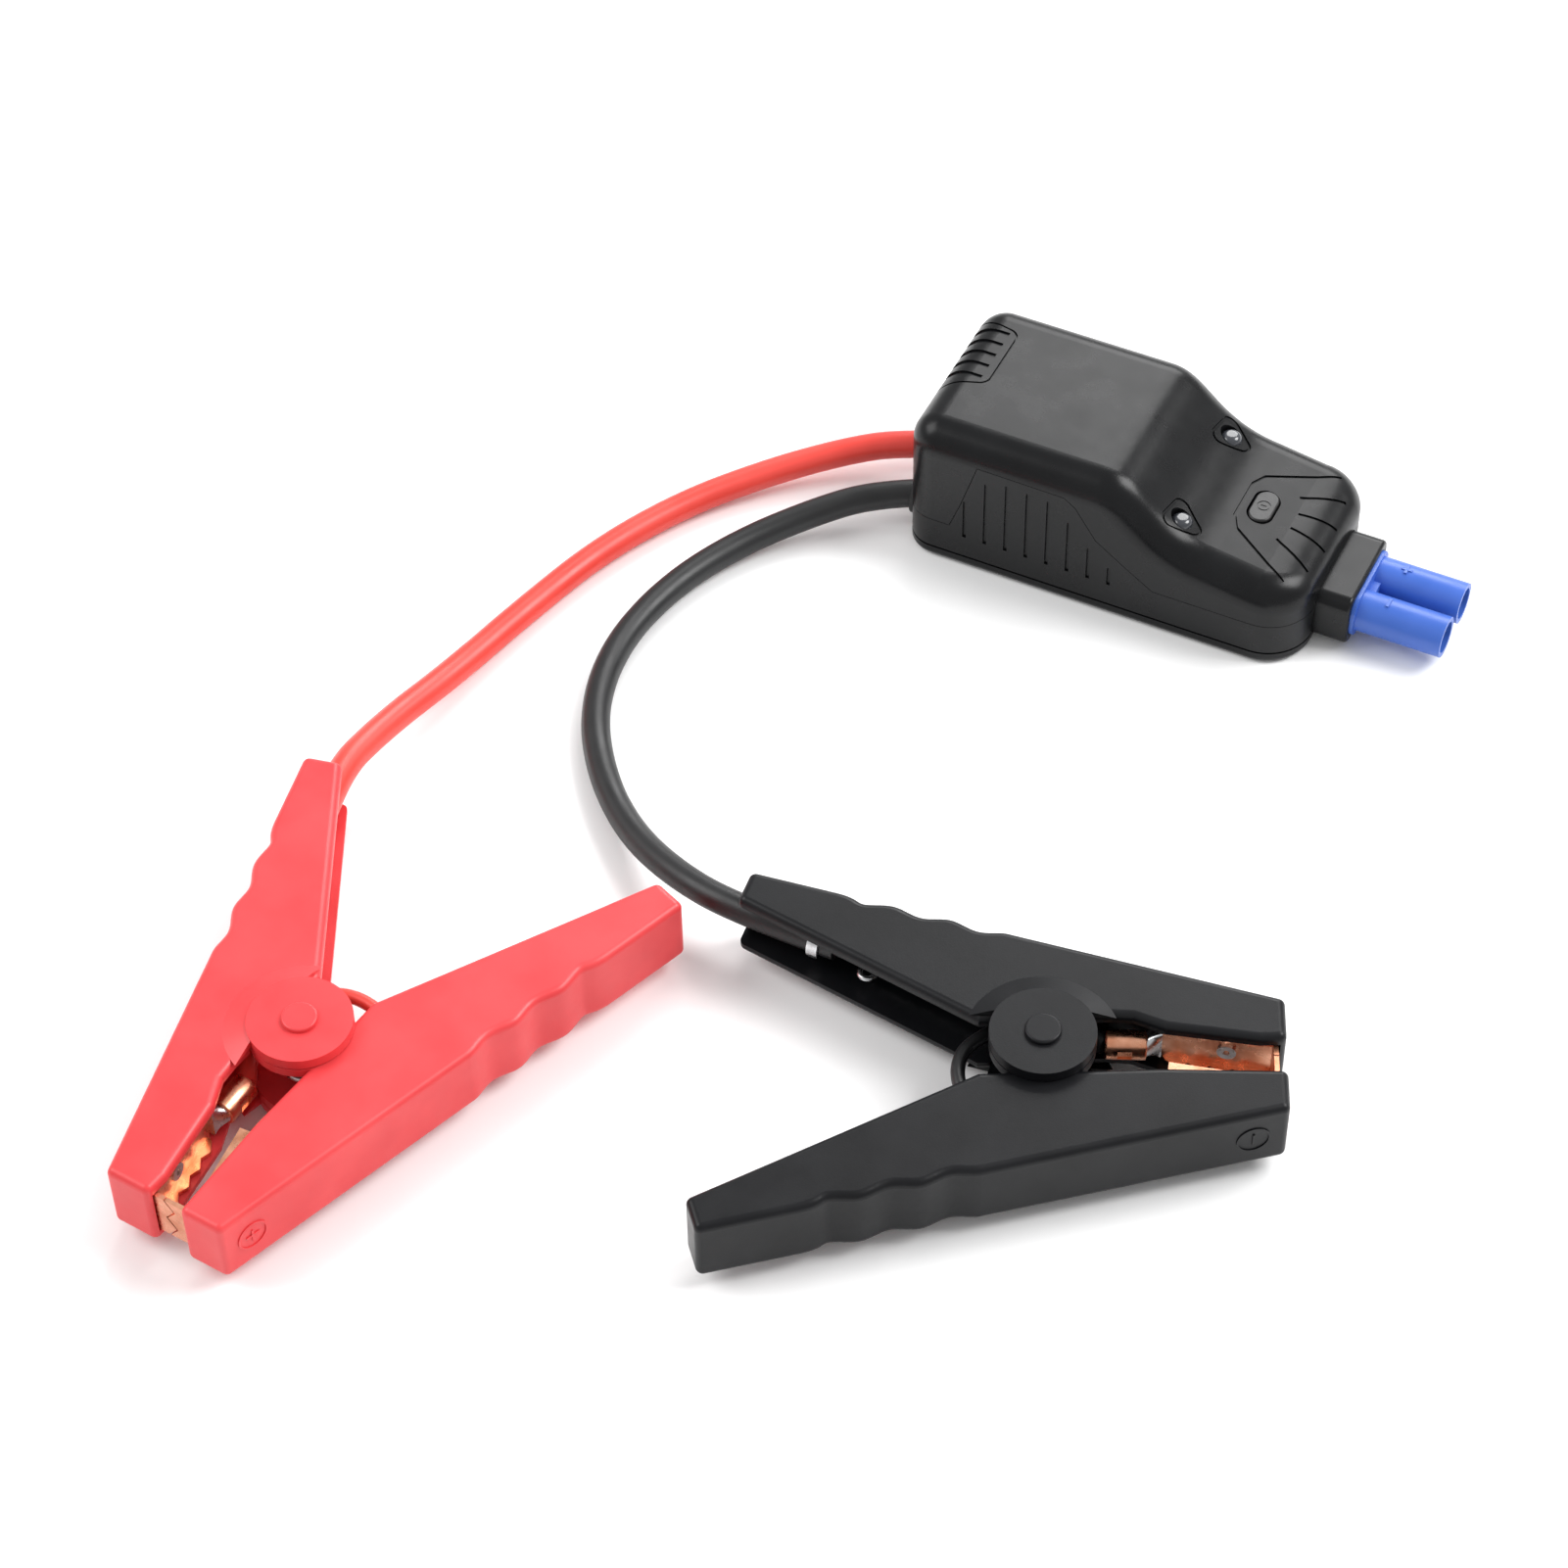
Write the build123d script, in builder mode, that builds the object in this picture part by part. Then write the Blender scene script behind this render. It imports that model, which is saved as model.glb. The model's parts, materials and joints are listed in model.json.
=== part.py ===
from build123d import *
import os
from math import cos, pi, radians, sin, tan

# Smart jump-starter clamp lead. Origin: centre of the control box's underside.
# +X points along the two-pole plug, +Z up. All sizes in millimetres.

# control box
BOX_LENGTH = 96.5
BOX_WIDTH = 48.5
BOX_HEIGHT = 38.5
DECK_HEIGHT = 23.4
REAR_CORNER = 7.0
FRONT_CORNER = 11.0
TOP_FILLET = 7.0
CAVITY_FILLET = 3.0
FOOT_FILLET = 1.6
WALL = 2.2
PART_LINE = 11.5
PART_GAP = 0.15
GROOVE_DEPTH = 0.45
SCREW_SPOTS = [(-36, 15.5), (-36, -15.5), (31, 17), (31, -17)]
SCREW_R = 1.2
SCREW_TOP = 17.0
SCREW_HEAD_R = 2.3
SCREW_HEAD_TOP = 1.6
POST_R = 3.2

# controls on the deck, and the board under them
BUTTON_X = 30.0
BUTTON_LENGTH = 10.0
BUTTON_WIDTH = 5.6
BUTTON_TOP = DECK_HEIGHT + 0.6
BUTTON_FLANGE = 18.2
LENS_X = 16.0
LENS_Y = 14.8
LENS_R = 2.5
BOARD_Z = 14.0
BOARD_TOP = BOARD_Z + 1.6

# two-pole plug
COLLAR_WIDTH = 24.8
COLLAR_LOW = 1.0
COLLAR_HIGH = 14.4
COLLAR_START = BOX_LENGTH / 2 - 5.0
COLLAR_END = BOX_LENGTH / 2 + 8.0
PLUG_START = BOX_LENGTH / 2 - 1.0
PLUG_END = 77.3
PLUG_Z = 7.7
POLE_PITCH = 11.6
TUBE_R = 4.8
TUBE_BORE_R = 3.7
CONTACT_R = 2.5
SHANK_R = 2.2
CONTACT_START = 36.0
CONTACT_SHOULDER = 51.0
CONTACT_TIP = 74.3
POLES = [(POLE_PITCH / 2, PLUG_Z), (-POLE_PITCH / 2, PLUG_Z)]

# cables
CABLE_R = 3.25
BUSH_R = 4.6
EXIT_X = -BOX_LENGTH / 2 - 0.6
RED_ROUTE = [
    (EXIT_X, 2.5, 8.5), (-60, -0.8, 7.7), (-71, -7.5, 6.2), (-84, -19, 4.6), (-98, -36, 3.7),
    (-109, -58, 3.5), (-115.7, -82.5, 3.5), (-120.8, -107, 4.2), (-125, -131, 8.2),
    (-125.8, -152.5, 12), (-118.5, -174.6, 12),
]
BLACK_ROUTE = [
    (EXIT_X, -15, 8.5), (-58, -19, 7.6), (-67.6, -26.5, 5.7), (-81, -42.5, 3.7),
    (-89.4, -61.7, 3.4), (-92.2, -82.8, 3.4), (-88, -102.6, 3.4), (-77.4, -119.3, 3.6),
    (-63.4, -132.8, 5), (-47, -142.7, 9.2), (-29.4, -147.9, 12), (-6.2, -147.8, 12),
]
BUSH_SPOTS = [RED_ROUTE[0], BLACK_ROUTE[0]]

# battery clamps: middle line along the local X axis, jaws towards +X, cable handle on +Y
CLAMP_MID = 12.0
PIVOT_Y = 2.0
CABLE_FACE = 8.5
LEVER_FACE = 8.2
CHANNEL_HALF = 6.0
EAR_R = 11.0
EAR_TOP = 11.0
EAR_SEAT_R = 11.4
RAMP_R = 16.0
PIN_R = 2.5
PIN_BORE_R = 2.55
TIP_X = 49.5
TIP_OUTER_Y = 14.0
CABLE_INNER = [(14, 8.4), (18.5, 8.2), (25, 5.6), (44, 3.2), (TIP_X, 3.6)]
LEVER_INNER = [(12, 5.0), (24, 4.2), (TIP_X, 4.0)]
OUTER_SLOPE = 0.283
WALL_Y = 2.6
CABLE_TAIL = 61.0
LEVER_TAIL = 68.0
CABLE_SCALLOPS = (-13, -25, -37)
LEVER_SCALLOPS = (-18, -30, -42)
SCALLOP_HALF = 6.0
SCALLOP_DEPTH = 1.3
LONG_EDGE = 1.6
TOOTH_COUNT = 4
TOOTH_PITCH = 4.6
TOOTH_DEPTH = 1.5
TOOTH_SLOPE = 0.15
TOOTH_START = 25.6
JAW_HALF = 5.7
JAW_SHEET = 1.0
LIP_GAP = 0.2
LIP_WAVE = 1.1
SPRING_R = 5.0
SPRING_WIRE_R = 0.7
COIL_HEIGHT = 8.0
LEG_ANGLE = 149.0
LEG_LENGTH = 46.0
BLACK_PLACE = (45.6, -160.0, 23.7)
RED_PLACE = (-90.9, -220.1, -95.7)

os.makedirs("parts", exist_ok=True)


def save(part, name):
    part.label = name
    export_step(part, f"parts/{name}.step")


# ---------------------------------------------------------------- control box


def plan_form(inset, low):
    """An upright block on the box's rounded plan, moved inwards by inset."""
    with BuildPart() as plan:
        with BuildSketch(Plane.XY.offset(low)):
            Rectangle(BOX_LENGTH - 2 * inset, BOX_WIDTH - 2 * inset)
        extrude(amount=BOX_HEIGHT - inset - low)
        fillet(plan.edges().filter_by(Axis.Z).group_by(Axis.X)[0], REAR_CORNER - inset)
        fillet(plan.edges().filter_by(Axis.Z).group_by(Axis.X)[-1], FRONT_CORNER - inset)
    return plan.part


def housing_form(inset, rim_radius):
    """The control box's outer form, or the same form moved inwards by inset."""
    rear = -BOX_LENGTH / 2 + inset
    front = BOX_LENGTH / 2 - inset
    top = BOX_HEIGHT - inset
    deck = DECK_HEIGHT - inset
    half = BOX_WIDTH / 2 - inset
    nose = FRONT_CORNER - inset
    with BuildPart() as form:
        with BuildSketch(Plane.XZ):
            with BuildLine():
                Polyline((-2.2, top), (rear, top), (rear, inset), (front, inset), (front, 15))
                Bezier((front, 15), (front, deck - 1.2), (front - nose, deck - 1))
                Line((front - nose, deck - 1), (26, deck + 0.8))
                Bezier((26, deck + 0.8), (9.8, deck + 2.5), (8.7, top), (-2.2, top))
            make_face()
        extrude(amount=half, both=True)
        add(plan_form(inset, inset), mode=Mode.INTERSECT)
        high = form.edges().filter_by(lambda edge: edge.center().Z > 14)
        upright = high.filter_by(Axis.Z)
        across = high.filter_by(Axis.Y).filter_by(lambda edge: edge.center().X > rear + 0.1)
        fillet(high - upright - across, rim_radius)
    return form.part


def tongue(grow):
    """The side panel that rises from the lower housing, as a bar right across the box."""
    foot = PART_LINE - 3
    with BuildPart() as bar:
        with BuildSketch(Plane.XZ):
            with BuildLine():
                Polyline(
                    (-37.6, foot), (-34, 18.6), (-30, 32), (-8.8, 31.7), (-6, 29.6),
                    (-0.8, 21.7), (7, 16), (18, foot), close=True,
                )
            make_face()
            if grow:
                offset(amount=grow)
        extrude(amount=BOX_WIDTH, both=True)
    return bar.part


def side_lines():
    """Vertical grip grooves on both sides and the line round the foot of the box."""
    tops = (20.5, 28, 29.5, 29.3, 29, 24.5, 18.5, 14.5)
    foot = 9.2
    with BuildPart() as lines:
        for index, high in enumerate(tops):
            with Locations((-32.8 + 5.1 * index, 0, foot)):
                Box(0.9, 2 * BOX_WIDTH, high - foot, align=(Align.CENTER, Align.CENTER, Align.MIN))
        with Locations((0, 0, 3.1)):
            Box(2 * BOX_LENGTH, 2 * BOX_WIDTH, 0.5)
    return lines.part


def deck_lines():
    """Lines pressed into the deck: the kite, the fan and the frames of the two lenses."""
    paths = [
        [(25.2, 0), (25.2, 5.6), (27, 9), (42, 18.2)],
        [(37.5, 2.4), (46.5, 3.8)],
        [(36, 7.2), (45.5, 12)],
    ]
    with BuildPart() as lines:
        with BuildSketch(Plane.XY.offset(15)):
            for side in (1, -1):
                for path in paths:
                    with BuildLine():
                        Polyline(*[(x, side * y) for x, y in path])
                    trace(line_width=0.7)
        extrude(amount=BOX_HEIGHT)
        with BuildSketch(Plane.XY.offset(15)) as frames:
            with Locations((LENS_X, LENS_Y), (LENS_X, -LENS_Y)):
                RegularPolygon(radius=7.0, side_count=3, rotation=-8)
            fillet(frames.vertices(), 2)
            offset(amount=-0.6, mode=Mode.SUBTRACT)
        extrude(amount=BOX_HEIGHT)
    return lines.part


def grip_lines():
    """The framed finger panel with lengthwise grooves on the rear top edge."""
    with BuildPart() as lines:
        with BuildSketch(Plane.XY.offset(31)) as panel:
            with BuildLine():
                Polyline((-60, -12.5), (-36.5, -4), (-36.5, 14.5), (-60, 19), close=True)
            make_face()
            fillet(panel.vertices(), 3)
            offset(amount=-0.5, mode=Mode.SUBTRACT)
            with Locations([(-45, 5 + 3.9 * step) for step in range(-2, 3)]):
                Rectangle(12.5, 1.7)
        extrude(amount=BOX_HEIGHT)
    return lines.part


def posts(low, high, radius):
    """Four upright cylinders on the case screws' axes."""
    with BuildPart() as post:
        with Locations([(x, y, low) for x, y in SCREW_SPOTS]):
            Cylinder(radius, high - low, align=(Align.CENTER, Align.CENTER, Align.MIN))
    return post.part


def collar_form(grow):
    with BuildPart() as form:
        with BuildSketch(Plane.YZ.offset(COLLAR_START - grow)):
            with Locations((0, (COLLAR_LOW + COLLAR_HIGH) / 2)):
                RectangleRounded(COLLAR_WIDTH + 2 * grow, COLLAR_HIGH - COLLAR_LOW + 2 * grow, 3)
        extrude(amount=COLLAR_END - COLLAR_START + grow)
    return form.part


def wall_cuts():
    """Holes that both housings share: the cable bushes and the collar's seat."""
    with BuildPart() as cuts:
        for spot in BUSH_SPOTS:
            with BuildSketch(Plane.YZ.offset(EXIT_X - 1)):
                with Locations((spot[1], spot[2])):
                    Circle(BUSH_R + 0.05)
            extrude(amount=8)
        add(collar_form(0.1))
    return cuts.part


def pole_bars(start, end, radius):
    """Two round bars on the plug's pole axes."""
    with BuildPart() as bars:
        with BuildSketch(Plane.YZ.offset(start)):
            with Locations(*POLES):
                Circle(radius)
        extrude(amount=end - start)
    return bars.part


with BuildPart() as outer_form:
    add(housing_form(0, TOP_FILLET))
    fillet(outer_form.edges().group_by(Axis.Z)[0], FOOT_FILLET)
outer = outer_form.part
cavity = housing_form(WALL, CAVITY_FILLET)

with BuildPart() as skin:
    add(outer)
    add(housing_form(GROOVE_DEPTH, TOP_FILLET - 0.5), mode=Mode.SUBTRACT)

with BuildPart() as lower_zone:
    with Locations((0, 0, PART_LINE / 2)):
        Box(2 * BOX_LENGTH, 2 * BOX_WIDTH, PART_LINE)
    add(tongue(0))

with BuildPart() as upper_zone:
    with Locations((0, 0, PART_LINE + PART_GAP + BOX_HEIGHT / 2)):
        Box(2 * BOX_LENGTH, 2 * BOX_WIDTH, BOX_HEIGHT)
    add(tongue(PART_GAP), mode=Mode.SUBTRACT)

with BuildPart() as side_marks:
    add(side_lines())
    add(plan_form(GROOVE_DEPTH, -1), mode=Mode.SUBTRACT)

with BuildPart() as top_marks:
    add(deck_lines())
    add(grip_lines())
    add(skin.part, mode=Mode.INTERSECT)

with BuildPart() as lower_housing:
    add(outer)
    add(cavity, mode=Mode.SUBTRACT)
    add(lower_zone.part, mode=Mode.INTERSECT)
    add(posts(WALL - 0.1, PART_LINE - 0.3, POST_R))
    add(side_marks.part, mode=Mode.SUBTRACT)
    add(posts(-1, BOX_HEIGHT, SCREW_R + 0.1), mode=Mode.SUBTRACT)
    add(posts(-1, SCREW_HEAD_TOP, SCREW_HEAD_R + 0.15), mode=Mode.SUBTRACT)
    add(wall_cuts(), mode=Mode.SUBTRACT)
save(lower_housing.part, "lower_housing")

with BuildPart() as upper_posts:
    add(posts(PART_LINE, BOX_HEIGHT, POST_R))
    add(housing_form(WALL / 2, TOP_FILLET - 1), mode=Mode.INTERSECT)

with BuildPart() as upper_housing:
    add(outer)
    add(cavity, mode=Mode.SUBTRACT)
    add(upper_zone.part, mode=Mode.INTERSECT)
    add(upper_posts.part)
    add(top_marks.part, mode=Mode.SUBTRACT)
    add(posts(0, SCREW_TOP + 1, SCREW_R + 0.05), mode=Mode.SUBTRACT)
    add(wall_cuts(), mode=Mode.SUBTRACT)
    with BuildSketch(Plane.XY.offset(DECK_HEIGHT - 8)):
        with Locations((BUTTON_X, 0)):
            SlotOverall(BUTTON_LENGTH + 0.6, BUTTON_WIDTH + 0.6, rotation=90)
    extrude(amount=20, mode=Mode.SUBTRACT)
    with BuildSketch(Plane.XY.offset(DECK_HEIGHT - 8)):
        with Locations((LENS_X, LENS_Y), (LENS_X, -LENS_Y)):
            Circle(LENS_R + 0.03)
    extrude(amount=20, mode=Mode.SUBTRACT)
save(upper_housing.part, "upper_housing")

with BuildPart() as case_screws:
    add(posts(SCREW_HEAD_TOP - 0.1, SCREW_TOP, SCREW_R))
    add(posts(0.25, SCREW_HEAD_TOP, SCREW_HEAD_R))
    with Locations([(x, y, 0.25) for x, y in SCREW_SPOTS]):
        Box(2.6, 0.6, 1.2, mode=Mode.SUBTRACT)
        Box(0.6, 2.6, 1.2, mode=Mode.SUBTRACT)
save(case_screws.part, "case_screws")

with BuildPart() as power_button:
    with BuildSketch(Plane.XY.offset(BUTTON_FLANGE)):
        with Locations((BUTTON_X, 0)):
            SlotOverall(BUTTON_LENGTH, BUTTON_WIDTH, rotation=90)
    extrude(amount=BUTTON_TOP - BUTTON_FLANGE)
    fillet(power_button.edges().group_by(Axis.Z)[-1], 0.5)
    with BuildSketch(Plane.XY.offset(BUTTON_FLANGE)):
        with Locations((BUTTON_X, 0)):
            SlotOverall(BUTTON_LENGTH + 2, BUTTON_WIDTH + 2, rotation=90)
    extrude(amount=-0.8)
    with BuildSketch(Plane.XY.offset(BUTTON_TOP - 0.15)):
        with Locations((BUTTON_X, 0)):
            Circle(1.6)
            Circle(1.25, mode=Mode.SUBTRACT)
            Rectangle(1.4, 0.35)
    extrude(amount=1, mode=Mode.SUBTRACT)
save(power_button.part, "power_button")

for name, y in (("left_status_lens", LENS_Y), ("right_status_lens", -LENS_Y)):
    with BuildPart() as lens:
        with BuildSketch(Plane.XY.offset(DECK_HEIGHT - 1)):
            with Locations((LENS_X, y)):
                Circle(LENS_R)
        extrude(amount=5.4)
        fillet(lens.edges().group_by(Axis.Z)[-1], 1.6)
    save(lens.part, name)

with BuildPart() as plug_collar:
    add(collar_form(0))
    fillet(plug_collar.edges().group_by(Axis.X)[-1], 0.8)
    with BuildSketch(Plane.YZ.offset(PLUG_START)):
        with Locations((0, PLUG_Z)):
            RectangleRounded(POLE_PITCH + 2 * TUBE_R + 1.3, 2 * TUBE_R + 1.3, 4)
    extrude(amount=12, mode=Mode.SUBTRACT)
    add(pole_bars(CONTACT_START - 1, PLUG_END, CONTACT_R + 0.3), mode=Mode.SUBTRACT)
save(plug_collar.part, "plug_collar")

with BuildPart() as plug_body:
    with BuildSketch(Plane.YZ.offset(PLUG_START + 0.05)):
        with Locations((0, PLUG_Z)):
            RectangleRounded(POLE_PITCH + 2 * TUBE_R + 1, 2 * TUBE_R + 1, 3.8)
    extrude(amount=COLLAR_END + 0.8 - PLUG_START)
    with BuildSketch(Plane.YZ.offset(COLLAR_END)):
        with Locations((0, PLUG_Z)):
            Rectangle(POLE_PITCH, TUBE_R)
    extrude(amount=2.5)
    add(pole_bars(COLLAR_END, PLUG_END, TUBE_R))
    with Locations(*[(COLLAR_END + 7, y, PLUG_Z + TUBE_R) for y, _ in POLES]):
        Box(0.7, 2.6, 0.5)
    with Locations((COLLAR_END + 7, POLE_PITCH / 2, PLUG_Z + TUBE_R)):
        Box(2.6, 0.7, 0.5)
    add(pole_bars(PLUG_START + 3, PLUG_END + 1, TUBE_BORE_R), mode=Mode.SUBTRACT)
    add(pole_bars(CONTACT_START, PLUG_END, SHANK_R + 0.02), mode=Mode.SUBTRACT)
save(plug_body.part, "plug_body")

for name, pole in (("plug_contact_positive", POLES[0]), ("plug_contact_negative", POLES[1])):
    with BuildPart() as contact:
        with BuildSketch(Plane.YZ.offset(CONTACT_START)):
            with Locations(pole):
                Circle(SHANK_R)
        extrude(amount=CONTACT_SHOULDER - CONTACT_START)
        with BuildSketch(Plane.YZ.offset(CONTACT_SHOULDER)):
            with Locations(pole):
                Circle(CONTACT_R)
        extrude(amount=CONTACT_TIP - CONTACT_SHOULDER)
        chamfer(contact.edges().group_by(Axis.X)[-1], 0.6)
    save(contact.part, name)

for name, spot in (("red_cable_bush", BUSH_SPOTS[0]), ("black_cable_bush", BUSH_SPOTS[1])):
    with BuildPart() as bush:
        with BuildSketch(Plane.YZ.offset(EXIT_X)):
            with Locations((spot[1], spot[2])):
                Circle(BUSH_R)
        extrude(amount=5)
    save(bush.part, name)

with BuildPart() as circuit_board:
    with Locations((1, 0, BOARD_Z)):
        Box(74, 38, 1.6, align=(Align.CENTER, Align.CENTER, Align.MIN))
    add(posts(0, BOX_HEIGHT, POST_R + 0.3), mode=Mode.SUBTRACT)
save(circuit_board.part, "circuit_board")

for name, spot, size in (
    ("power_relay", (-14, 0, BOARD_TOP), (22, 18, 16)),
    ("mosfet_bank", (6, -5, BOARD_TOP), (10, 14, 4.5)),
    ("tactile_switch", (BUTTON_X, 0, BOARD_TOP), (5, 6, 1.2)),
):
    with BuildPart() as block:
        with Locations(spot):
            Box(*size, align=(Align.CENTER, Align.CENTER, Align.MIN))
        fillet(block.edges().filter_by(Axis.Z), 0.6)
    save(block.part, name)

with BuildPart() as capacitors:
    with Locations((5, 10, BOARD_TOP), (-29.5, 0, BOARD_TOP)):
        Cylinder(3.8, 8, align=(Align.CENTER, Align.CENTER, Align.MIN))
save(capacitors.part, "capacitors")

for name, pole in (("positive_busbar", POLES[0]), ("negative_busbar", POLES[1])):
    with BuildPart() as busbar:
        with Locations((CONTACT_START, pole[0], pole[1])):
            Box(62, 5, 1.2, align=(Align.MAX, Align.CENTER, Align.CENTER))
    save(busbar.part, name)


# ---------------------------------------------------------------- battery clamps


def outer_y(x):
    """How far a handle's outer wall stands from the clamp's centre line at x."""
    return TIP_OUTER_Y + (TIP_X - x) * OUTER_SLOPE


def tooth_line(x):
    """Height of the jaw teeth's roots above the centre line at x."""
    return 7.4 - TOOTH_SLOPE * (x - TOOTH_START)


def placed(shape, place, flipped):
    """A clamp piece moved into the object's frame, turned face down first if flipped."""
    x, y, turn = place
    if flipped:
        shape = shape.moved(Location((0, 0, 2 * CLAMP_MID), (180, 0, 0)))
    return shape.moved(Location((x, y, 0), (0, 0, turn)))


def ears(low, high, radius):
    """Two round layers, above and below the clamp's middle, between two heights from it."""
    with BuildPart() as pair:
        with Locations((0, PIVOT_Y, CLAMP_MID + low), (0, PIVOT_Y, CLAMP_MID - high)):
            Cylinder(radius, high - low, align=(Align.CENTER, Align.CENTER, Align.MIN))
    return pair.part


def upright_bar(radius, half):
    with BuildPart() as bar:
        with Locations((0, PIVOT_Y, CLAMP_MID)):
            Cylinder(radius, 2 * half)
    return bar.part


def handle_block(side, tail, face, inner, scallops):
    """A handle's outline as a solid block, with finger scallops and its long edges eased."""
    start = scallops[0] + SCALLOP_HALF
    wave = [(start, outer_y(start))]
    for x in scallops:
        after = x - SCALLOP_HALF
        wave += [(x, outer_y(x) - SCALLOP_DEPTH), (after, outer_y(after))]
    rest = [
        wave[-1], (-tail, outer_y(-tail)), (-tail - 2.5, outer_y(-tail) - 8), (-13, 6.5),
        *inner, (TIP_X, TIP_OUTER_Y), wave[0],
    ]
    along = (-1, side * OUTER_SLOPE)
    with BuildPart() as block:
        with BuildSketch(Plane.XY.offset(CLAMP_MID - face)):
            with BuildLine():
                Spline(*[(x, side * y) for x, y in wave], tangents=(along, along))
                Polyline(*[(x, side * y) for x, y in rest])
            make_face()
        extrude(amount=2 * face)
        ends = block.edges().filter_by(Axis.Z)
        fillet(ends.filter_by(lambda edge: abs(edge.center().X) > TIP_X - 1), 1.5)
        fillet(block.edges().group_by(Axis.Z)[-1] + block.edges().group_by(Axis.Z)[0], LONG_EDGE)
    return block.part


def channel(side, tail_end):
    """The hollow of a handle, open towards the other handle."""
    with BuildPart() as hollow:
        with BuildSketch(Plane.XY.offset(CLAMP_MID - CHANNEL_HALF)):
            with BuildLine():
                Polyline(
                    (tail_end, side * (outer_y(tail_end) - WALL_Y)),
                    (4, side * (outer_y(4) - WALL_Y)),
                    (14, side * 13),
                    (24, side * (tooth_line(24) + 3)),
                    (TIP_X - 1.2, side * (tooth_line(TIP_X) + 3.4)),
                    (TIP_X - 1.2, side * -2),
                    (tail_end, side * -2),
                    close=True,
                )
            make_face()
        extrude(amount=2 * CHANNEL_HALF)
    return hollow.part


def polarity_mark(side, positive):
    """A raised ring with a plus or minus sign on the handle's outer wall near the tip."""
    x = TIP_X - 7
    outward = Vector(OUTER_SLOPE, side, 0)
    wall = Plane(origin=(x, side * outer_y(x), CLAMP_MID), x_dir=(0, 0, 1), z_dir=outward)
    with BuildPart() as mark:
        with BuildSketch(wall.offset(-0.4)):
            Circle(3.6)
            Circle(3.2, mode=Mode.SUBTRACT)
            Rectangle(3.2, 0.5)
            if positive:
                Rectangle(0.5, 3.2)
        extrude(amount=0.65)
    return mark.part


def cable_handle():
    """The handle that takes the cable; its ears lie outside the lever's."""
    with BuildPart() as ramp:
        with Locations(
            Location((0, PIVOT_Y, CLAMP_MID + CABLE_FACE - 0.01)),
            Location((0, PIVOT_Y, CLAMP_MID - CABLE_FACE + 0.01), (180, 0, 0)),
        ):
            Cone(
                RAMP_R, EAR_R, EAR_TOP - CABLE_FACE - 0.5,
                align=(Align.CENTER, Align.CENTER, Align.MIN),
            )
        with Locations((-8, 19, CLAMP_MID)):
            Box(60, 23, 40, mode=Mode.INTERSECT)
    with BuildPart() as handle:
        add(handle_block(1, CABLE_TAIL, CABLE_FACE, CABLE_INNER, CABLE_SCALLOPS))
        add(channel(1, -CABLE_TAIL - 9), mode=Mode.SUBTRACT)
        add(ears(0, CABLE_FACE, EAR_SEAT_R), mode=Mode.SUBTRACT)
        add(ramp.part)
        add(ears(CABLE_FACE, EAR_TOP, EAR_R))
        add(upright_bar(PIN_BORE_R, 20), mode=Mode.SUBTRACT)
    return handle.part


def lever_handle(positive):
    """The handle that is squeezed; its ears lie inside the cable handle's."""
    with BuildPart() as handle:
        add(handle_block(-1, LEVER_TAIL, LEVER_FACE, LEVER_INNER, LEVER_SCALLOPS))
        add(channel(-1, -LEVER_TAIL + 1.5), mode=Mode.SUBTRACT)
        add(ears(CHANNEL_HALF, LEVER_FACE, EAR_R))
        add(upright_bar(PIN_BORE_R, 20), mode=Mode.SUBTRACT)
        add(polarity_mark(-1, positive))
    return handle.part


def pivot_pin():
    with BuildPart() as pin:
        add(upright_bar(PIN_R, EAR_TOP))
        add(ears(EAR_TOP, CLAMP_MID, 3.8))
        fillet(pin.edges().group_by(Axis.Z)[-1] + pin.edges().group_by(Axis.Z)[0], 0.5)
    return pin.part


def jaw(side):
    """A folded copper jaw: back plate, two flanges, toothed on the fixed jaw, and a notched lip."""
    end = TIP_X - 1.6
    teeth = [(TOOTH_START, side * 1.2), (TIP_X - 8, side * 3.8)]
    if side > 0:
        teeth = []
        for index in range(TOOTH_COUNT):
            x = TOOTH_START + index * TOOTH_PITCH
            teeth += [(x, tooth_line(x)), (x + TOOTH_PITCH / 2, tooth_line(x) - TOOTH_DEPTH)]
    root = TOOTH_START - 1
    back = [(end, side * (tooth_line(end) + 2)), (root, side * (tooth_line(root) + 2))]
    inner = [(x, y - side * JAW_SHEET) for x, y in back]
    notch = JAW_HALF / 2
    wave = [(LIP_WAVE * (-1) ** step, step * notch) for step in range(-2, 3)]
    back_y = side * (tooth_line(end) + 1.5)
    with BuildPart() as plate:
        for low in (CLAMP_MID - JAW_HALF, CLAMP_MID + JAW_HALF - JAW_SHEET):
            with BuildSketch(Plane.XY.offset(low)):
                with BuildLine():
                    Polyline(*teeth, (end, side * tooth_line(end)), *back, close=True)
                make_face()
            extrude(amount=JAW_SHEET)
        with BuildSketch(Plane.XY.offset(CLAMP_MID - JAW_HALF)):
            with BuildLine():
                Polyline(*back, *reversed(inner), close=True)
            make_face()
        extrude(amount=2 * JAW_HALF)
        with BuildSketch(Plane.YZ.offset(end - JAW_SHEET)):
            with BuildLine():
                Polyline(
                    *[(y + side * LIP_GAP, CLAMP_MID + z) for y, z in wave],
                    (back_y, CLAMP_MID + JAW_HALF), (back_y, CLAMP_MID - JAW_HALF), close=True,
                )
            make_face()
        extrude(amount=JAW_SHEET)
    return plate.part


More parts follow.
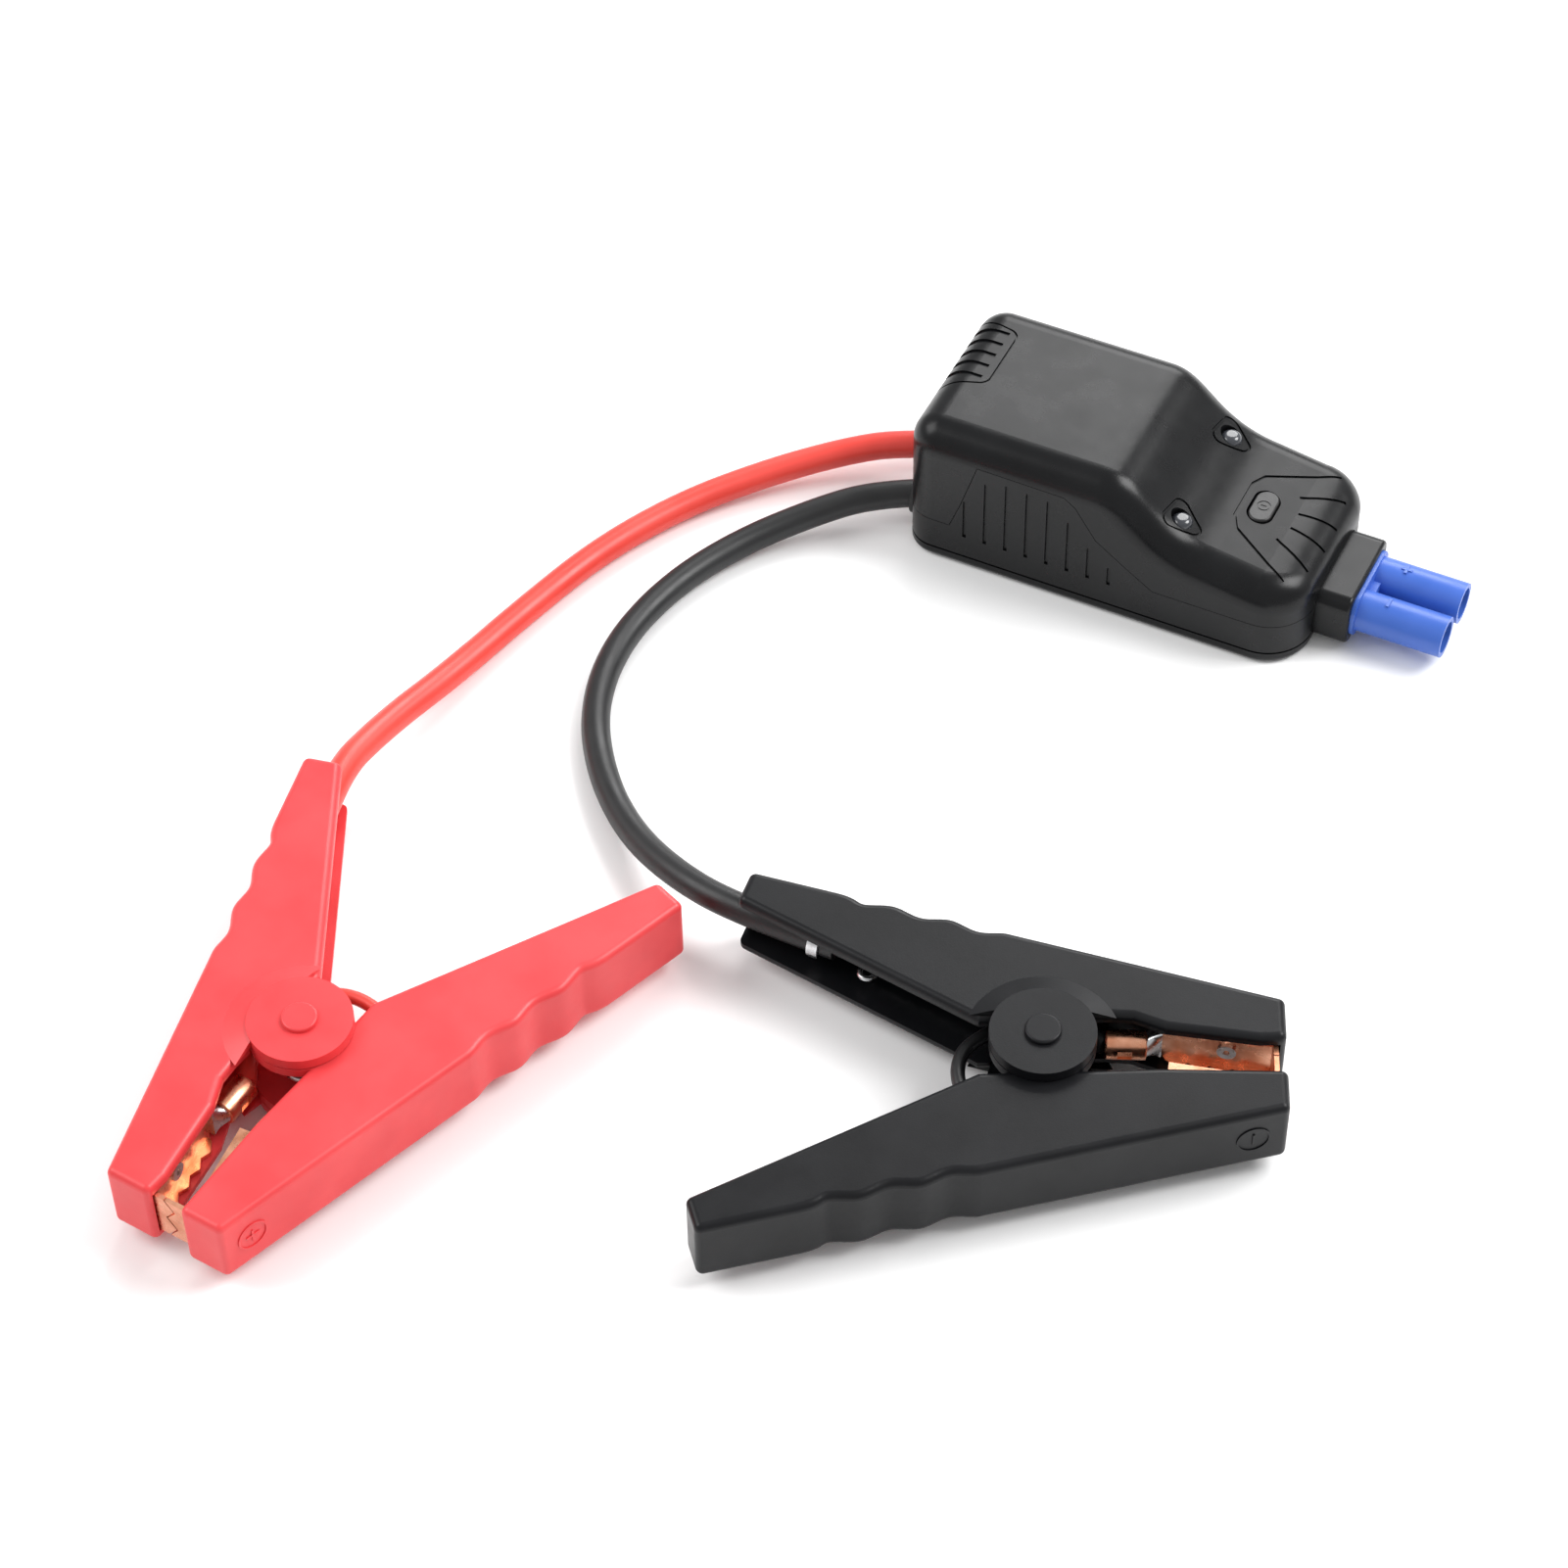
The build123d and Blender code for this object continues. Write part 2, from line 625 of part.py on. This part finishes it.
def jaw_rivet(side):
    """A tubular rivet through the jaw's back plate into the handle."""
    x = 38.0
    y = tooth_line(x) + 2
    lean = Vector(TOOTH_SLOPE, side, 0)
    seat = Plane(origin=(x, side * y, CLAMP_MID), x_dir=(0, 0, 1), z_dir=lean)
    with BuildPart() as rivet:
        with BuildSketch(seat.offset(-JAW_SHEET - 0.7)):
            Circle(2)
        extrude(amount=0.7)
        with BuildSketch(seat.offset(-JAW_SHEET)):
            Circle(1.2)
        extrude(amount=JAW_SHEET + 3)
        with BuildSketch(seat.offset(-JAW_SHEET - 0.8)):
            Circle(0.7)
        extrude(amount=3, mode=Mode.SUBTRACT)
    return rivet.part


def cable_crimp():
    with BuildPart() as barrel:
        with BuildSketch(Plane.YZ.offset(13)):
            with Locations((7.4, CLAMP_MID)):
                Circle(3.1)
        extrude(amount=8.5)
        fillet(barrel.edges().filter_by(GeomType.CIRCLE), 0.4)
        with Locations((17, 4.4, CLAMP_MID)):
            Box(3, 1, 2.4, mode=Mode.SUBTRACT)
    return barrel.part


def conductor_end():
    """Tinned strands from the crimp, flattened on to the fixed jaw."""
    with BuildPart() as strands:
        with BuildSketch(Plane.YZ.offset(21.5)):
            with Locations((7.4, CLAMP_MID)):
                Circle(2.4)
        with BuildSketch(Plane.YZ.offset(TOOTH_START - 1)):
            with Locations((7.8, CLAMP_MID)):
                RectangleRounded(1.6, 8, 0.7)
        loft()
    return strands.part


def cable_clip():
    """The zinc strap that holds the cable in its handle."""
    with BuildPart() as clip:
        middle = Plane(origin=(-47.5, 34.2, CLAMP_MID), z_dir=(0.918, -0.397, 0))
        with BuildSketch(middle):
            Circle(CABLE_R + 0.9)
            Circle(CABLE_R + 0.1, mode=Mode.SUBTRACT)
        extrude(amount=2.4)
    return clip.part


def inner_lead():
    """The cable's core from the cable's end past the spring to the crimp."""
    with BuildPart() as lead:
        with BuildLine() as path:
            FilletPolyline((-43, 32.2, 12), (-16, 20.5, 12), (3, 14, 12), (13, 7.4, 12), radius=12)
        with BuildSketch(Plane(origin=path.line @ 0, z_dir=path.line % 0)):
            Circle(2.2)
        sweep()
    return lead.part


def torsion_spring():
    """The coil round the pivot pin, as a closed sleeve, and its legs on the two handles."""
    start = LEG_ANGLE - 90
    with BuildPart() as spring:
        with Locations((0, PIVOT_Y, CLAMP_MID)):
            Cylinder(SPRING_R + SPRING_WIRE_R, COIL_HEIGHT)
            Cylinder(SPRING_R - SPRING_WIRE_R, COIL_HEIGHT, mode=Mode.SUBTRACT)
        for side in (1, -1):
            x = SPRING_R * cos(radians(start))
            y = PIVOT_Y + side * SPRING_R * sin(radians(start))
            z = CLAMP_MID - side * (COIL_HEIGHT / 2 - SPRING_WIRE_R - 0.2)
            along = Vector(cos(radians(LEG_ANGLE)), side * sin(radians(LEG_ANGLE)), 0)
            with BuildSketch(Plane(origin=(x, y, z), z_dir=along)):
                Circle(SPRING_WIRE_R - 0.05)
            extrude(amount=LEG_LENGTH)
    return spring.part


def link_wire():
    """The lead that joins the two jaws behind the pivot."""
    with BuildPart() as wire:
        with BuildLine() as path:
            Spline(
                (-8, 11.2, 12), (-14, 6.8, 12), (-16.6, 0, 12), (-14.6, -6.8, 12), (-9, -12, 12),
            )
        with BuildSketch(Plane(origin=path.line @ 0, z_dir=path.line % 0)):
            Circle(1.5)
        sweep()
    return wire.part


for colour, place, flipped in (("red", RED_PLACE, True), ("black", BLACK_PLACE, False)):
    pieces = {
        "cable_handle": cable_handle(),
        "lever_handle": lever_handle(flipped),
        "pivot_pin": pivot_pin(),
        "fixed_jaw": jaw(1),
        "moving_jaw": jaw(-1),
        "fixed_jaw_rivet": jaw_rivet(1),
        "moving_jaw_rivet": jaw_rivet(-1),
        "cable_crimp": cable_crimp(),
        "conductor_end": conductor_end(),
        "cable_clip": cable_clip(),
        "inner_lead": inner_lead(),
        "torsion_spring": torsion_spring(),
        "link_wire": link_wire(),
    }
    for name, piece in pieces.items():
        save(placed(piece, place, flipped), f"{colour}_{name}")


# ---------------------------------------------------------------- cables


def cable_path(name, route):
    """The cable's centre line: straight runs with arcs as large as the runs allow."""
    radii = []
    for before, corner, after in zip(route, route[1:], route[2:]):
        into = Vector(*corner) - Vector(*before)
        out = Vector(*after) - Vector(*corner)
        turn = radians(into.get_angle(out))
        radii.append(0.45 * min(into.length, out.length) / tan(turn / 2))
    print(name, "bend radii", [round(radius) for radius in radii])
    return FilletPolyline(*route, radius=radii)


for name, route in (("red_cable", RED_ROUTE), ("black_cable", BLACK_ROUTE)):
    with BuildPart() as cable:
        with BuildLine() as path:
            cable_path(name, route)
        with BuildSketch(Plane(origin=path.line @ 0, z_dir=path.line % 0)):
            Circle(CABLE_R)
        sweep()
    run = path.wire().length
    expected = pi * CABLE_R**2 * run
    print(name, "length", round(run), "volume ratio", round(cable.part.volume / expected, 4))
    save(cable.part, name)
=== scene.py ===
import json
import math
import bpy
from mathutils import Matrix, Vector


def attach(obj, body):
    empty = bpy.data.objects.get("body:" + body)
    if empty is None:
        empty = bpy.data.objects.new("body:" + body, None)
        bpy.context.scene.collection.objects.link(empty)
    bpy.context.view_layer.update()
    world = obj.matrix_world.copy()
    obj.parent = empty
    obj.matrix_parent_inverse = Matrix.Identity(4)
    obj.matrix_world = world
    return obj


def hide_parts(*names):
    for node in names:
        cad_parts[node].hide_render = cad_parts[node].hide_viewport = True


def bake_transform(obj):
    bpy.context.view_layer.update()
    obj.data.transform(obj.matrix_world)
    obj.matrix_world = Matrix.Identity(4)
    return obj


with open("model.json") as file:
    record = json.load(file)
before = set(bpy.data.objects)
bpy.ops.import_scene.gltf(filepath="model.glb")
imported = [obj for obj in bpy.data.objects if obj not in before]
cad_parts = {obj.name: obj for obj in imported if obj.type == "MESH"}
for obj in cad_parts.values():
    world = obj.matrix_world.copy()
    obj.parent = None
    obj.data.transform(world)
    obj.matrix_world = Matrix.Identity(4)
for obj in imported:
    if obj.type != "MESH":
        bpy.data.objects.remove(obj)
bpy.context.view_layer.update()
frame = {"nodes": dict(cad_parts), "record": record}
MM = 0.001
scene = bpy.context.scene

# ---------------------------------------------------------------- camera

CAMERA_AT = Vector((235.4, -651.7, 694)) * MM
CAMERA_TARGET = Vector((-40.8, -102.4, 0)) * MM
CAMERA_LENS = 96.7
CAMERA_SENSOR = 36
CAMERA_ROLL = -1.1

camera_data = bpy.data.cameras.new("camera")
camera_data.lens = CAMERA_LENS
camera_data.sensor_width = CAMERA_SENSOR
camera = bpy.data.objects.new("camera", camera_data)
scene.collection.objects.link(camera)
facing = (CAMERA_TARGET - CAMERA_AT).to_track_quat("-Z", "Y").to_matrix().to_4x4()
roll = Matrix.Rotation(math.radians(CAMERA_ROLL), 4, "Z")
camera.matrix_world = Matrix.Translation(CAMERA_AT) @ facing @ roll
scene.camera = camera
scene.view_settings.view_transform = "Standard"

# ---------------------------------------------------------------- materials

NOISE_MIDDLE = (0.3, 0.7)
RAMP_MIDDLE = (0.35, 0.65)
COLOUR_DRIFT = 60
GLOSS_DRIFT = 140
PLASTIC_GRAIN = 3200
PLASTIC_GRAIN_DEPTH = 0.00008
PLASTIC_IOR = 1.48
COAT_ROUGHNESS = 0.25
METAL_DRIFT = 220
METAL_MARKS = 500
METAL_MARKS_DEPTH = 0.00005


def new_material(name):
    """A fresh node material, its node tree and its Principled shader."""
    material = bpy.data.materials.new(name)
    material.use_nodes = True
    return material, material.node_tree, material.node_tree.nodes["Principled BSDF"]


def noise(tree, scale, detail=3.0):
    """A noise texture fixed to the object, scale in features per metre."""
    place = tree.nodes.new("ShaderNodeTexCoord")
    texture = tree.nodes.new("ShaderNodeTexNoise")
    texture.inputs["Scale"].default_value = scale
    texture.inputs["Detail"].default_value = detail
    tree.links.new(place.outputs["Object"], texture.inputs["Vector"])
    return texture.outputs["Fac"]


def spread(tree, source, low, high):
    """Maps the middle of a noise value's range on to low to high."""
    node = tree.nodes.new("ShaderNodeMapRange")
    node.inputs["From Min"].default_value, node.inputs["From Max"].default_value = NOISE_MIDDLE
    node.inputs["To Min"].default_value = low
    node.inputs["To Max"].default_value = high
    tree.links.new(source, node.inputs["Value"])
    return node.outputs["Result"]


def tint(tree, source, dark, light):
    """A colour that drifts from dark to light as the noise value rises."""
    ramp = tree.nodes.new("ShaderNodeValToRGB")
    for stop, position, colour in zip(ramp.color_ramp.elements, RAMP_MIDDLE, (dark, light)):
        stop.position = position
        stop.color = (*colour, 1)
    tree.links.new(source, ramp.inputs["Fac"])
    return ramp.outputs["Color"]


def bump(tree, shader, source, strength, distance):
    """Fine relief, distance in metres."""
    node = tree.nodes.new("ShaderNodeBump")
    node.inputs["Strength"].default_value = strength
    node.inputs["Distance"].default_value = distance
    tree.links.new(source, node.inputs["Height"])
    tree.links.new(node.outputs["Normal"], shader.inputs["Normal"])


def plastic(name, dark, light, rough, grain, coat, specular):
    """Moulded plastic: a slow colour drift, uneven gloss and a fine spark-eroded grain."""
    material, tree, shader = new_material(name)
    tree.links.new(tint(tree, noise(tree, COLOUR_DRIFT), dark, light), shader.inputs["Base Color"])
    tree.links.new(spread(tree, noise(tree, GLOSS_DRIFT), *rough), shader.inputs["Roughness"])
    bump(tree, shader, noise(tree, PLASTIC_GRAIN, 2.0), grain, PLASTIC_GRAIN_DEPTH)
    shader.inputs["IOR"].default_value = PLASTIC_IOR
    shader.inputs["Specular IOR Level"].default_value = specular
    shader.inputs["Coat Weight"].default_value = coat
    shader.inputs["Coat Roughness"].default_value = COAT_ROUGHNESS
    return material


def metal(name, dark, light, rough, grain):
    """Bare or plated metal with drawn marks and a slightly uneven colour."""
    material, tree, shader = new_material(name)
    tree.links.new(tint(tree, noise(tree, METAL_DRIFT), dark, light), shader.inputs["Base Color"])
    tree.links.new(spread(tree, noise(tree, METAL_MARKS), *rough), shader.inputs["Roughness"])
    bump(tree, shader, noise(tree, METAL_MARKS * 3, 5.0), grain, METAL_MARKS_DEPTH)
    shader.inputs["Metallic"].default_value = 1.0
    return material


# Each recipe is the dark and light colour, the roughness range and the grain's strength.
PLASTICS = {
    "black_shell": ((0.0030, 0.0032, 0.0038), (0.0048, 0.0052, 0.0060), (0.26, 0.32), 0.12),
    "black_moulding": ((0.0040, 0.0042, 0.0052), (0.0065, 0.0068, 0.0082), (0.32, 0.40), 0.18),
    "button_black": ((0.004, 0.004, 0.0045), (0.007, 0.007, 0.0075), (0.28, 0.36), 0.3),
    "red_moulding": ((0.70, 0.042, 0.048), (0.77, 0.056, 0.062), (0.34, 0.44), 0.18),
    "red_sheath": ((0.74, 0.050, 0.036), (0.80, 0.064, 0.048), (0.32, 0.42), 0.2),
    "black_sheath": ((0.006, 0.0062, 0.007), (0.011, 0.0112, 0.012), (0.36, 0.48), 0.4),
    "plug_blue": ((0.036, 0.110, 0.45), (0.048, 0.130, 0.52), (0.32, 0.42), 0.15),
    "bush_rubber": ((0.012, 0.012, 0.012), (0.020, 0.020, 0.020), (0.6, 0.7), 0.5),
    "relay_black": ((0.02, 0.02, 0.02), (0.03, 0.03, 0.03), (0.4, 0.5), 0.3),
    "board": ((0.01, 0.10, 0.03), (0.02, 0.16, 0.05), (0.3, 0.4), 0.2),
    "lens": ((0.02, 0.022, 0.028), (0.05, 0.055, 0.065), (0.06, 0.10), 0.05),
}
METALS = {
    "copper": ((0.72, 0.30, 0.17), (0.90, 0.46, 0.30), (0.22, 0.38), 0.3),
    "contact_gold": ((0.78, 0.52, 0.20), (0.90, 0.66, 0.30), (0.18, 0.30), 0.15),
    "zinc": ((0.56, 0.57, 0.58), (0.74, 0.75, 0.76), (0.22, 0.36), 0.25),
}
COATS = {"lens": 0.6}
SPECULARS = {"black_shell": 0.27, "black_moulding": 0.26}

MATERIALS = {
    name: plastic(name, *recipe, COATS.get(name, 0.0), SPECULARS.get(name, 0.5))
    for name, recipe in PLASTICS.items()
}
MATERIALS.update({name: metal(name, *recipe) for name, recipe in METALS.items()})


def wear(piece, slot):
    """Gives a new piece its one material."""
    piece.data.materials.clear()
    piece.data.materials.append(MATERIALS[slot])


for entry in frame["record"]["subparts"]:
    node = frame["nodes"][entry["node"]]
    if node.data.materials:
        for index in range(len(node.data.materials)):
            node.material_slots[index].material = MATERIALS[entry["material_slot"]]
    else:
        node.data.materials.append(MATERIALS[entry["material_slot"]])

# ---------------------------------------------------------------- cables

CABLE_R = 3.25
EXIT_X = -48.85
ROUND_STEPS = 6
LENGTH_STEPS = 16
ROUTES = {
    "red": [
        (EXIT_X, 2.5, 8.5), (-60, -0.8, 7.7), (-71, -7.5, 6.2), (-84, -19, 4.6), (-98, -36, 3.7),
        (-109, -58, 3.5), (-115.7, -82.5, 3.5), (-120.8, -107, 4.2), (-125, -131, 8.2),
        (-125.8, -152.5, 12), (-118.5, -174.6, 12),
    ],
    "black": [
        (EXIT_X, -15, 8.5), (-58, -19, 7.6), (-67.6, -26.5, 5.7), (-81, -42.5, 3.7),
        (-89.4, -61.7, 3.4), (-92.2, -82.8, 3.4), (-88, -102.6, 3.4), (-77.4, -119.3, 3.6),
        (-63.4, -132.8, 5), (-47, -142.7, 9.2), (-29.4, -147.9, 12), (-6.2, -147.8, 12),
    ],
}


def smooth_curve(name, points, radius):
    """A round cord along a NURBS line with the given points, in millimetres, as controls."""
    data = bpy.data.curves.new(name, "CURVE")
    data.dimensions = "3D"
    data.bevel_depth = radius * MM
    data.bevel_resolution = ROUND_STEPS
    data.resolution_u = LENGTH_STEPS
    data.use_fill_caps = True
    spline = data.splines.new("NURBS")
    spline.points.add(len(points) - 1)
    for control, point in zip(spline.points, points):
        control.co = (*(Vector(point) * MM), 1)
    spline.order_u = 3
    spline.use_endpoint_u = True
    cord = bpy.data.objects.new(name, data)
    scene.collection.objects.link(cord)
    return cord


for colour, route in ROUTES.items():
    cable = smooth_curve(f"{colour}_cable_sheath", route, CABLE_R)
    cable.data.materials.append(MATERIALS[f"{colour}_sheath"])
    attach(cable, "control_box")
    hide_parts(f"{colour}_cable")

# ---------------------------------------------------------------- clamp details

CLAMP_MID = 12.0
# Each clamp's place and turn on the floor, and whether it lies upside down.
PLACES = {"black": (45.6, -160.0, 23.7, False), "red": (-90.9, -220.1, -95.7, True)}


def clamp_point(colour, x, y, z):
    """A point of a clamp's own frame, in millimetres, as a point of the object's, in metres."""
    at_x, at_y, turn, flipped = PLACES[colour]
    if flipped:
        y, z = -y, 2 * CLAMP_MID - z
    local = Matrix.Rotation(math.radians(turn), 3, "Z") @ Vector((x, y, z))
    return (local + Vector((at_x, at_y, 0))) * MM


def tube(name, points, radius):
    """A mesh tube along a smooth line through control points given in metres."""
    cord = smooth_curve(name + "_line", [point / MM for point in points], radius)
    bpy.context.view_layer.update()
    graph = bpy.context.evaluated_depsgraph_get()
    mesh = bpy.data.meshes.new_from_object(cord.evaluated_get(graph))
    bpy.data.objects.remove(cord)
    piece = bpy.data.objects.new(name, mesh)
    scene.collection.objects.link(piece)
    for polygon in mesh.polygons:
        polygon.use_smooth = True
    return piece


SPRING_R = 5.0
WIRE_R = 0.65
COIL_TURNS = 4
COIL_STEPS = 16
PIVOT_Y = 2.0
LEG_ANGLE = math.radians(149)
LEG_LENGTH = 44.0
EYE_R = 1.8
LEG_PARTS = (0.08, 0.5, 0.93)
EYE_TURNS = (0.2, 1.0, 1.8, 2.6, 3.4, 4.2, 5.0)
COIL_HALF = 3.1
COIL_LOW = CLAMP_MID - COIL_HALF
COIL_HIGH = CLAMP_MID + COIL_HALF


def leg_points(side, height):
    """A leg from the coil to the handle, ending in a small open eye."""
    along = Vector((math.cos(LEG_ANGLE), side * math.sin(LEG_ANGLE), 0))
    across = Vector((-along.y, along.x, 0)) * side
    start = LEG_ANGLE - math.pi / 2
    foot = Vector((SPRING_R * math.cos(start), PIVOT_Y + side * SPRING_R * math.sin(start), height))
    line = [foot + along * LEG_LENGTH * part for part in LEG_PARTS]
    eye = [
        foot + along * (LEG_LENGTH + EYE_R * math.sin(turn)) + across * EYE_R * (1 - math.cos(turn))
        for turn in EYE_TURNS
    ]
    return line + eye


def spring_points(colour):
    """Leg, coil and leg: the coil runs clockwise between the two legs' tangent points."""
    start = LEG_ANGLE - math.pi / 2
    sweep = 2 * math.pi * (COIL_TURNS - 1) + 2 * start
    count = COIL_STEPS * COIL_TURNS
    points = list(reversed(leg_points(1, COIL_LOW)))
    for step in range(count + 1):
        angle = start - sweep * step / count
        height = COIL_LOW + (COIL_HIGH - COIL_LOW) * step / count
        points.append((SPRING_R * math.cos(angle), PIVOT_Y + SPRING_R * math.sin(angle), height))
    points += leg_points(-1, COIL_HIGH)
    return [clamp_point(colour, *point) for point in points]


LINK_R = 1.5
LINK_LINE = [(-8, 11.2), (-15, 7.4), (-17.6, 0), (-15.6, -7.6), (-9, -12)]

for colour in PLACES:
    spring = tube(f"{colour}_spring_wire", spring_points(colour), WIRE_R)
    wear(spring, "zinc")
    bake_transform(spring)
    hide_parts(f"{colour}_torsion_spring")
    link_points = [clamp_point(colour, x, y, CLAMP_MID) for x, y in LINK_LINE]
    link = tube(f"{colour}_link_lead", link_points, LINK_R)
    wear(link, f"{colour}_sheath")
    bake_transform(link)
    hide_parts(f"{colour}_link_wire")

# ---------------------------------------------------------------- floor and light

FLOOR_HALF = 3.0
FLOOR_Z = -0.0002
FLOOR_SHADE = 0.95
FLOOR_ROUGHNESS = 0.9
WORLD_STRENGTH = 0.62
LIGHT_AIM = Vector((-0.02, -0.1, 0))

floor_data = bpy.data.meshes.new("floor")
corners = [(-1, -1), (1, -1), (1, 1), (-1, 1)]
vertices = [(x * FLOOR_HALF, y * FLOOR_HALF, FLOOR_Z) for x, y in corners]
floor_data.from_pydata(vertices, [], [(0, 1, 2, 3)])
floor = bpy.data.objects.new("floor", floor_data)
scene.collection.objects.link(floor)
floor_material, _, floor_shader = new_material("floor")
floor_shader.inputs["Base Color"].default_value = (FLOOR_SHADE, FLOOR_SHADE, FLOOR_SHADE, 1)
floor_shader.inputs["Roughness"].default_value = FLOOR_ROUGHNESS
floor_data.materials.append(floor_material)

world = bpy.data.worlds.new("studio")
world.use_nodes = True
background = world.node_tree.nodes["Background"]
background.inputs["Color"].default_value = (1, 1, 1, 1)
background.inputs["Strength"].default_value = WORLD_STRENGTH
scene.world = world


def softbox(name, at, size, power):
    """A square area light turned towards the object, in metres and watts."""
    light_data = bpy.data.lights.new(name, "AREA")
    light_data.size = size
    light_data.energy = power
    light = bpy.data.objects.new(name, light_data)
    scene.collection.objects.link(light)
    aim = (LIGHT_AIM - Vector(at)).to_track_quat("-Z", "Y").to_matrix().to_4x4()
    light.matrix_world = Matrix.Translation(at) @ aim


softbox("key", (0.9, 0.5, 1.2), 0.8, 22)
softbox("fill", (-1.1, -0.5, 1.1), 0.9, 12)
softbox("back", (-0.2, 1.3, 1.0), 0.9, 16)
